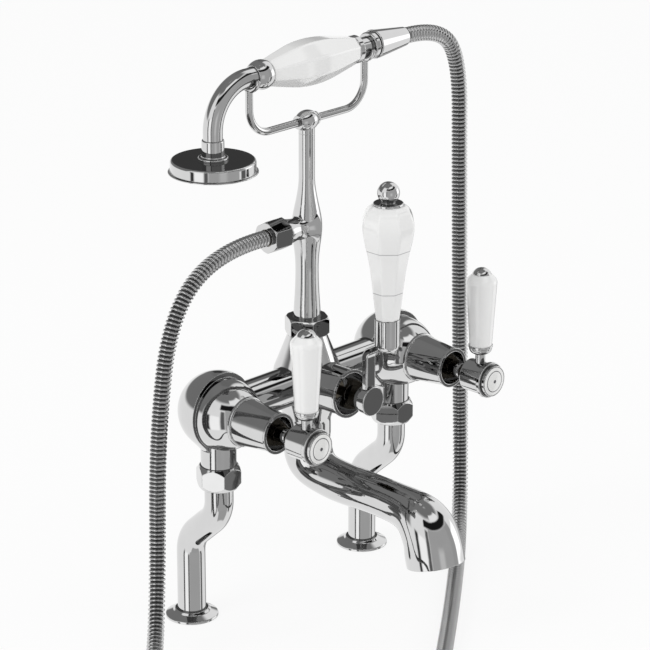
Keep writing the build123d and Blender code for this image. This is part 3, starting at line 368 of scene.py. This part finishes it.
def ribbed_loops(places):
    """Loops around a line, rib after rib."""
    frames = frames_along(places)
    stations = []
    for rib in range((len(places) - 1) // RIB_STEPS):
        for share, radius in RIB_OUTLINE:
            stations.append((rib * RIB_STEPS + round(share * RIB_STEPS), radius * MM))
    stations.append((len(places) - 1, RIB_OUTLINE[0][1] * MM))
    loops = []
    for index, radius in stations:
        across, up = frames[index]
        spokes = [math.cos(angle) * across + math.sin(angle) * up for angle in turn(HOSE_SEGMENTS)]
        loops.append([places[index] + radius * spoke for spoke in spokes])
    return loops


hose_path = even_points(spline_points(HOSE_ROUTE), RIB_PITCH / RIB_STEPS)
hose_mesh = looped_mesh("shower_hose_ribs", ribbed_loops(hose_path), False)
hose_mesh.materials.append(SLOT_MATERIALS["hose_chrome"])
hose_mesh.materials.append(SLOT_MATERIALS["black_rubber"])
for number, polygon in enumerate(hose_mesh.polygons):
    polygon.use_smooth = True
    # The gap's floor takes the black rubber material: painted shade between the ribs
    if number // HOSE_SEGMENTS % len(RIB_OUTLINE) in RIB_PAINTED_SHADE_ROWS:
        polygon.material_index = 1
hose_piece = add_object("shower_hose_ribs", hose_mesh)
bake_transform(hose_piece)
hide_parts("shower_hose")


# Ceramic grips, in millimetres: eight glazed faces that run softly into each other. A higher GRIP_EDGE
# makes their edges sharper, and each station is a place along the grip and the radius to its faces there.
GRIP_SIDES = 8
GRIP_EDGE = 60.0
GRIP_SEGMENTS = 128
GRIP_RINGS = 80
X_AXIS, Y_AXIS, Z_AXIS = Vector((1.0, 0.0, 0.0)), Vector((0.0, 1.0, 0.0)), Vector((0.0, 0.0, 1.0))
HANDSET_GRIP = ((-40.0, 9.0), (-26.0, 12.1), (-12.0, 14.7), (2.5, 15.6), (17.0, 14.7), (31.0, 12.4),
                (45.0, 9.8))
HANDSET_GRIP_FOOT = Vector((0.0, -30.0, 403.9))
HANDSET_AXES = (X_AXIS, Y_AXIS, Z_AXIS)
DIVERTER_GRIP = ((0.0, 8.1), (12.0, 9.6), (29.0, 11.5), (45.5, 13.9), (59.0, 16.8), (68.6, 18.0),
                 (76.0, 16.9), (81.0, 14.2), (84.0, 10.4))
DIVERTER_GRIP_FOOT = Vector((0.0, -109.0, 233.0))
DIVERTER_AXES = (Z_AXIS, X_AXIS, Y_AXIS)


def smooth_radius(stations, place):
    """The radius at a place along a grip, on a smooth line through its stations."""
    last = len(stations) - 1
    index = 0
    while index < last - 1 and stations[index + 1][0] < place:
        index += 1

    def slope(number):
        before, after = stations[max(number - 1, 0)], stations[min(number + 1, last)]
        return (after[1] - before[1]) / (after[0] - before[0])

    (low, low_radius), (high, high_radius) = stations[index], stations[index + 1]
    span = high - low
    share = (place - low) / span
    rise = share * share * (3.0 - 2.0 * share)
    leave = share * (1.0 - share) ** 2
    arrive = -share * share * (1.0 - share)
    return (low_radius + (high_radius - low_radius) * rise
            + span * (leave * slope(index) + arrive * slope(index + 1)))


def soft_octagon(angle):
    """How far a softly cornered octagon of unit inner radius reaches in a direction."""
    total = 0.0
    for side in turn(GRIP_SIDES):
        total += max(0.0, math.cos(angle - side)) ** GRIP_EDGE
    return total ** (-1.0 / GRIP_EDGE)


def grip_loop(foot, axes, stations, place, proud=0.0):
    """The points around a grip at one place along it, in metres."""
    forward, across, up = axes
    radius = smooth_radius(stations, place)
    loop = []
    for angle in turn(GRIP_SEGMENTS):
        spoke = math.cos(angle) * across + math.sin(angle) * up
        loop.append((foot + place * forward + (radius * soft_octagon(angle) + proud) * spoke) * MM)
    return loop


def ceramic_grip(name, node, body, foot, stations, axes):
    """A closed faceted grip along one axis, in place of the node's plainer one."""
    start, finish = stations[0][0], stations[-1][0]
    loops = []
    for ring in range(GRIP_RINGS + 1):
        loops.append(grip_loop(foot, axes, stations, start + (finish - start) * ring / GRIP_RINGS))
    mesh = looped_mesh(name, loops, False)
    add_piece(name, mesh, SLOT_MATERIALS["white_ceramic"], body, node)


ceramic_grip("handset_ceramic", "handset_grip", "handset", HANDSET_GRIP_FOOT, HANDSET_GRIP, HANDSET_AXES)
ceramic_grip("diverter_ceramic", "diverter_grip", "diverter_lever", DIVERTER_GRIP_FOOT, DIVERTER_GRIP,
             DIVERTER_AXES)


# Fired lines, in millimetres: two around the diverter grip, and a ring and a dot on each index disc
LINE_PLACES = (20.4, 51.8)
LINE_WIDTH = 0.5
LINE_PROUD = 0.04
LINE_DEPTH = 0.3
MARK_RING = (7.4, 8.0)
MARK_DOT_RADIUS = 1.3
MARK_SEGMENTS = 72
INDEX_RADIUS = 10.35
INDEX_CROWN = 0.7


def line_corners(start, finish):
    """The corners of a fired line's section: how far across, and how proud of the glaze."""
    return ((start, -LINE_DEPTH), (start, LINE_PROUD), (finish, LINE_PROUD), (finish, -LINE_DEPTH))


def diverter_line(name, place, material):
    """A line around the diverter grip."""
    loops = []
    for across, proud in line_corners(place, place + LINE_WIDTH):
        loops.append(grip_loop(DIVERTER_GRIP_FOOT, DIVERTER_AXES, DIVERTER_GRIP, across, proud))
    add_piece(name, looped_mesh(name, loops, True), material, "diverter_lever")


def mark_loop(middle, radius, proud):
    """A circle that follows an index disc's crowned face."""
    back = INDEX_CROWN * (radius / INDEX_RADIUS) ** 2 - proud
    loop = []
    for angle in turn(MARK_SEGMENTS):
        loop.append(middle + Vector((radius * math.cos(angle), back, radius * math.sin(angle))) * MM)
    return loop


def index_marks(water, material):
    """The ring and the dot on the index disc of one valve."""
    low, high = [Vector(corner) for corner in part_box(f"{water}_index")]
    middle = Vector(((low.x + high.x) / 2, low.y, (low.z + high.z) / 2))
    ring = [mark_loop(middle, radius, proud) for radius, proud in line_corners(*MARK_RING)]
    dot = [mark_loop(middle, MARK_DOT_RADIUS, proud) for proud in (-LINE_DEPTH, LINE_PROUD)]
    for name, loops, closed in ((f"{water}_mark_ring", ring, True), (f"{water}_mark_dot", dot, False)):
        add_piece(name, looped_mesh(name, loops, closed), material, f"{water}_lever")


line_glaze = glazed("line_glaze", (0.42, 0.42, 0.43))
mark_glaze = glazed("mark_glaze", (0.10, 0.10, 0.11))
for number, place in enumerate(LINE_PLACES):
    diverter_line(f"diverter_line_{number}", place, line_glaze)
for water in ("hot", "cold"):
    index_marks(water, mark_glaze)


# Studio: a white room, whose grey walls, dark bands and bright windows only show in reflections
ROOM_WHITE = 1.0

# The room's even strength as light on the object, apart from reflections
FILL_STRENGTH = 0.74

# The room grows dim in a reflection of a reflection: from this ray depth on, only this share of it shows
DEEP_RAYS = 2.5
DEEP_SHARE = 0.3

# Each patch of the room: middle azimuth, half width, lowest and highest elevation and softness, in degrees,
# and its strength. Azimuth 0 is +X and 90 is +Y, and a later patch covers an earlier one.
STUDIO_PATCHES = {
    "grey wall behind": (90.0, 62.0, 8.0, 90.0, 5.0, 0.21),
    "grey ceiling": (-165.0, 195.0, 58.0, 90.0, 6.0, 0.22),
    "grey floor in front": (-98.0, 38.0, -60.0, -30.0, 3.0, 0.44),
    "grey wall in front": (-103.0, 43.0, -36.0, 34.0, 2.0, 0.46),
    "paler part of that wall": (-107.0, 10.0, -18.5, 8.0, 6.0, 0.68),
    "black band over that wall": (-92.0, 70.0, 35.0, 52.0, 3.0, 0.012),
    "skylight in front": (-90.0, 34.0, 54.0, 68.0, 3.0, 1.1),
    "dark post at the left window's front edge": (-153.0, 5.5, -28.0, 30.0, 3.0, 0.13),
    "left window": (-173.0, 12.0, -30.0, 12.0, 3.0, 1.25),
    "black post at its back edge": (168.0, 5.0, -30.0, 12.0, 3.0, 0.04),
    "grey screen at the front right": (-50.0, 12.0, -12.0, 34.0, 3.0, 0.42),
    "dark foot of that screen": (-46.0, 8.0, -38.0, -13.0, 2.5, 0.13),
    "right window": (-26.0, 14.0, -10.0, 16.0, 3.0, 1.7),
    "dark screen at the back right": (42.0, 13.0, 4.0, 60.0, 3.0, 0.18),
    "black part of that screen": (46.0, 4.5, 8.0, 28.0, 1.5, 0.05),
    "grey floor at the right": (24.0, 20.0, -44.0, -8.0, 4.0, 0.42),
}

FLOOR_WIDTH = 12.0
FLOOR_SINK = 0.2 * MM
FLOOR_COLOUR = (0.92, 0.92, 0.92, 1.0)
FLOOR_ROUGHNESS = 0.9
FLOOR_SHADOW = 0.12

# Each lamp: its place, its width and height in metres, and its power in watts
LAMP_AIM = (0.0, -0.05, 0.2)
LAMPS = {
    "key": ((-1.9, 0.2, 1.5), (1.0, 1.0), 14.0),
    "side": ((1.2, -1.7, 0.9), (0.9, 1.2), 7.0),
}


def soft_step(tree, value, edge, soft, target):
    """A soft step at an edge, from one value of the target to the other."""
    return ranged(tree, value, (edge - soft, edge + soft), target, "SMOOTHSTEP")


def room_patch(tree, azimuth, elevation, shape):
    """How much of a patch of the room lies in a direction."""
    middle, half_width, low, high, soft = [math.radians(value) for value in shape]
    turned = math_node(tree, "WRAP", math_node(tree, "SUBTRACT", azimuth, middle), math.pi, -math.pi)
    across = soft_step(tree, math_node(tree, "ABSOLUTE", turned), half_width, soft, (1.0, 0.0))
    upward = math_node(tree, "MULTIPLY", soft_step(tree, elevation, low, soft, (0.0, 1.0)),
                       soft_step(tree, elevation, high, soft, (1.0, 0.0)))
    return math_node(tree, "MULTIPLY", across, upward)


def studio_room(tree):
    """The room's strength in each direction."""
    place = add_node(tree, "ShaderNodeTexCoord")
    parts = add_node(tree, "ShaderNodeSeparateXYZ")
    tree.links.new(place.outputs["Generated"], parts.inputs["Vector"])
    azimuth = math_node(tree, "ARCTAN2", parts.outputs["Y"], parts.outputs["X"])
    elevation = math_node(tree, "ARCSINE", parts.outputs["Z"])
    room = ROOM_WHITE
    for *shape, strength in STUDIO_PATCHES.values():
        room = mixed(tree, "FLOAT", room_patch(tree, azimuth, elevation, shape), room, strength)
    return room


def seen_rays(tree, rays):
    """1 for what the camera sees, straight or through glass, and 0 for the rest."""
    return math_node(tree, "MAXIMUM", rays.outputs["Is Camera Ray"], rays.outputs["Is Transmission Ray"])


def studio_world():
    """White to the camera, a room with patches to reflections, and even light to the rest."""
    world = bpy.data.worlds.new("studio")
    world.use_nodes = True
    world.cycles.sampling_method = "NONE"
    tree = world.node_tree
    rays = add_node(tree, "ShaderNodeLightPath")
    deep = math_node(tree, "GREATER_THAN", rays.outputs["Ray Depth"], DEEP_RAYS)
    dimmed = math_node(tree, "MULTIPLY", deep, 1.0 - DEEP_SHARE)
    room = math_node(tree, "MULTIPLY", studio_room(tree), math_node(tree, "SUBTRACT", 1.0, dimmed))
    shown = mixed(tree, "FLOAT", rays.outputs["Is Glossy Ray"], FILL_STRENGTH, room)
    strength = mixed(tree, "FLOAT", seen_rays(tree, rays), shown, ROOM_WHITE)
    background = tree.nodes["Background"]
    background.inputs["Color"].default_value = WHITE
    tree.links.new(strength, background.inputs["Strength"])
    return world


def floor_paint():
    """White paint: nearly all of the room's white to the camera, with the object's soft shadow."""
    material, tree, shader = new_material("floor_paint")
    shader.inputs["Base Color"].default_value = FLOOR_COLOUR
    shader.inputs["Roughness"].default_value = FLOOR_ROUGHNESS
    shader.inputs["Specular IOR Level"].default_value = 0.0
    white = add_node(tree, "ShaderNodeEmission", Color=WHITE, Strength=ROOM_WHITE)
    rays = add_node(tree, "ShaderNodeLightPath")
    share = math_node(tree, "MULTIPLY", seen_rays(tree, rays), 1.0 - FLOOR_SHADOW)
    blend = add_node(tree, "ShaderNodeMixShader")
    tree.links.new(share, blend.inputs["Fac"])
    tree.links.new(shader.outputs["BSDF"], blend.inputs[1])
    tree.links.new(white.outputs["Emission"], blend.inputs[2])
    tree.links.new(blend.outputs["Shader"], tree.nodes["Material Output"].inputs["Surface"])
    return material


def floor_plane():
    """The floor, a hair under the mixer's feet, which reflections don't show."""
    half = FLOOR_WIDTH / 2
    corners = [(-half, -half, 0), (half, -half, 0), (half, half, 0), (-half, half, 0)]
    mesh = bpy.data.meshes.new("floor")
    mesh.from_pydata(corners, [], [(0, 1, 2, 3)])
    mesh.materials.append(floor_paint())
    holder = add_object("floor", mesh)
    holder.location = (0.0, 0.0, -FLOOR_SINK)
    holder.visible_glossy = False


def softbox(name, place, size, power):
    """A lamp that lights the object but doesn't show in reflections."""
    lamp = bpy.data.lights.new(name, "AREA")
    lamp.shape = "RECTANGLE"
    lamp.size, lamp.size_y = size
    lamp.energy = power
    holder = add_object(name, lamp)
    holder.location = place
    holder.rotation_euler = (Vector(LAMP_AIM) - Vector(place)).to_track_quat("-Z", "Y").to_euler()
    holder.visible_glossy = False


floor_plane()
bpy.context.scene.world = studio_world()
for name, (place, size, power) in LAMPS.items():
    softbox(name, place, size, power)
